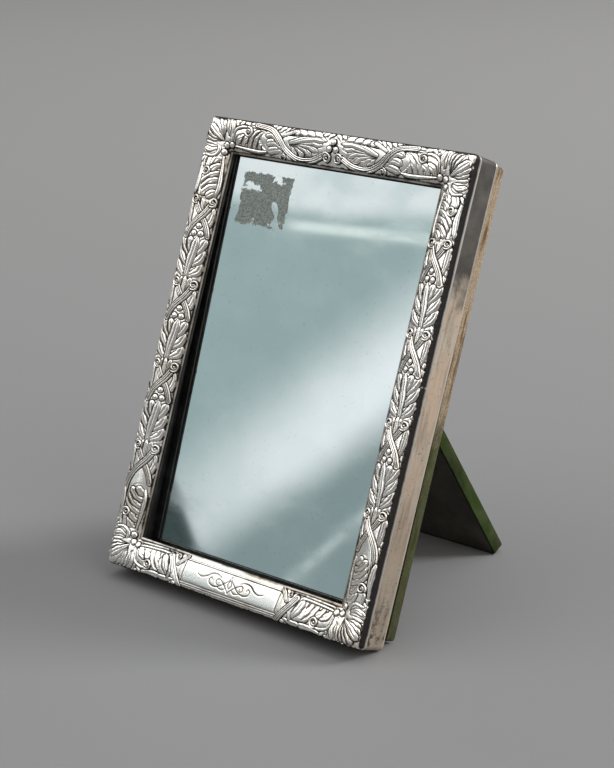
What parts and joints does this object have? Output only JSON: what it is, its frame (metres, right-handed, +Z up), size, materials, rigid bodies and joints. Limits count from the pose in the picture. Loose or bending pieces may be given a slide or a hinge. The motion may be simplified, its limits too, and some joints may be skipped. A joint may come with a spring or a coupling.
{
  "type": "easel mirror",
  "caption": "Rectangular dresser mirror: an ornate silver front on a wooden core, with a velvet back whose hinged leg props it at a lean.",
  "frame": {"origin": "on the table under the middle of the standing mirror's box, with the leg open", "axes": "+Z up, the mirror faces -Y and leans back, +X to the right as seen from its front"},
  "size_m": [0.152, 0.1346, 0.2051],
  "materials": {
    "silver": "stamped silver, polished on the high leaves, blackened in the recesses and tarnished on the plain sides",
    "core_wood": "blackened softwood",
    "mirror": "old silvered plate with a lost patch and haze",
    "card": "grey board",
    "iron": "dark oxidised brads",
    "board": "plain thin board",
    "velvet": "green cotton velvet, worn to its ground at the upper edges",
    "lining": "dark lining paper",
    "brass": "aged brass"
  },
  "bodies": {
    "frame": {"silver_front": "silver", "core_rail_top": "core_wood", "core_rail_bottom": "core_wood", "core_rail_left": "core_wood", "core_rail_right": "core_wood", "mirror_glass": "mirror", "backing_card": "card", "glazing_sprig_1": "iron", "glazing_sprig_2": "iron", "glazing_sprig_3": "iron", "glazing_sprig_4": "iron", "glazing_sprig_5": "iron", "glazing_sprig_6": "iron", "back_board": "board", "back_velvet": "velvet", "back_tack_1": "brass", "back_tack_2": "brass", "back_tack_3": "brass", "back_tack_4": "brass", "back_tack_5": "brass", "back_tack_6": "brass", "back_tack_7": "brass", "back_tack_8": "brass", "hinge_leaf_back": "brass", "hinge_pin": "brass", "hinge_rivet_back_1": "brass", "hinge_rivet_back_2": "brass", "hinge_rivet_back_3": "brass"},
    "leg": {"leg_board": "board", "leg_velvet": "velvet", "leg_lining": "lining", "hinge_leaf_leg": "brass", "hinge_rivet_leg_1": "brass", "hinge_rivet_leg_2": "brass", "hinge_rivet_leg_3": "brass"}
  },
  "joints": [
    {"name": "leg_hinge", "type": "hinge", "parent": "frame", "child": "leg", "pos_m": [0, 0.00837, 0.11913], "axis": [1, 0, 0], "range_deg": [-45.4, 0]}
  ]
}
